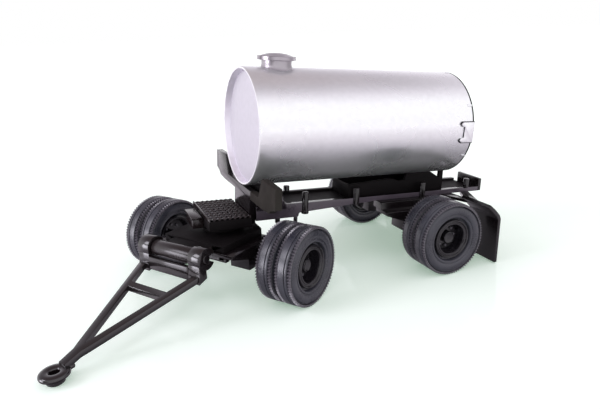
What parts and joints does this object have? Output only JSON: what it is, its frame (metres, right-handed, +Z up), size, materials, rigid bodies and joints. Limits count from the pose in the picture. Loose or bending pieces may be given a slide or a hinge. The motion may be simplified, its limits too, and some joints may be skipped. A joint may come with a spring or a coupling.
{
  "type": "water tank trailer, plastic scale model at about 1:87",
  "caption": "Plastic scale model of a two-axle water tank trailer with a silver round tank on a black chassis, steered front dolly and hinged drawbar.",
  "frame": {"origin": "on the ground, below the centre of the box of the whole model as parked", "axes": "+X forward along the chassis towards the towing gear, +Y to the model's left, +Z up"},
  "size_m": [0.0654, 0.0298, 0.0305],
  "materials": {
    "chassis_black": "satin",
    "tank_silver": "satin silver",
    "tyre_black": "satin"
  },
  "bodies": {
    "chassis": {"bolster": "chassis_black", "bolster_brace": "chassis_black", "chassis_frame": "chassis_black", "front_block": "chassis_black", "front_platform": "chassis_black", "front_saddle": "chassis_black", "kingpin": "chassis_black", "manhole_lid": "tank_silver", "manhole_neck": "tank_silver", "mudguard_left": "chassis_black", "mudguard_right": "chassis_black", "rail_stubs": "chassis_black", "rear_axle": "chassis_black", "rear_carrier_left": "chassis_black", "rear_carrier_right": "chassis_black", "rear_clamps": "tank_silver", "rear_hinge": "tank_silver", "rear_saddle": "chassis_black", "tail_plate": "chassis_black", "tank_front_head": "tank_silver", "tank_rear_cover": "tank_silver", "tank_shell": "tank_silver", "turntable_upper": "chassis_black"},
    "dolly": {"dolly_beam": "chassis_black", "dolly_carrier_left": "chassis_black", "dolly_carrier_right": "chassis_black", "dolly_plate": "chassis_black", "front_axle": "chassis_black", "hinge_pin": "chassis_black", "turntable_lower": "chassis_black"},
    "drawbar": {"clip_left": "chassis_black", "clip_right": "chassis_black", "drawbar_frame": "chassis_black", "hinge_block": "chassis_black", "tow_eye": "chassis_black"},
    "rear_left_wheels": {"rear_left_hub_cap": "chassis_black", "rear_left_tyre_inner": "tyre_black", "rear_left_tyre_outer": "tyre_black", "rear_left_wheel": "chassis_black"},
    "rear_right_wheels": {"rear_right_hub_cap": "chassis_black", "rear_right_tyre_inner": "tyre_black", "rear_right_tyre_outer": "tyre_black", "rear_right_wheel": "chassis_black"},
    "front_left_wheels": {"front_left_hub_cap": "chassis_black", "front_left_tyre_inner": "tyre_black", "front_left_tyre_outer": "tyre_black", "front_left_wheel": "chassis_black"},
    "front_right_wheels": {"front_right_hub_cap": "chassis_black", "front_right_tyre_inner": "tyre_black", "front_right_tyre_outer": "tyre_black", "front_right_wheel": "chassis_black"}
  },
  "joints": [
    {"name": "steering", "type": "hinge", "parent": "chassis", "child": "dolly", "pos_m": [0.00929, 0, 0.0051], "axis": [0, 0, 1], "range_deg": [-71.5, 8.5]},
    {"name": "drawbar_hinge", "type": "hinge", "parent": "dolly", "child": "drawbar", "pos_m": [0.0167, 0.00455, 0.0077], "axis": [0.5225, -0.8526, 0], "range_deg": [0, 50]},
    {"name": "rear_left_wheel_spin", "type": "hinge", "parent": "chassis", "child": "rear_left_wheels", "pos_m": [-0.01826, 0, 0.0051], "axis": [0, 1, 0], "continuous": true},
    {"name": "rear_right_wheel_spin", "type": "hinge", "parent": "chassis", "child": "rear_right_wheels", "pos_m": [-0.01826, 0, 0.0051], "axis": [0, 1, 0], "continuous": true},
    {"name": "front_left_wheel_spin", "type": "hinge", "parent": "dolly", "child": "front_left_wheels", "pos_m": [0.00929, 0, 0.0051], "axis": [-0.5225, 0.8526, 0], "continuous": true},
    {"name": "front_right_wheel_spin", "type": "hinge", "parent": "dolly", "child": "front_right_wheels", "pos_m": [0.00929, 0, 0.0051], "axis": [-0.5225, 0.8526, 0], "continuous": true}
  ]
}
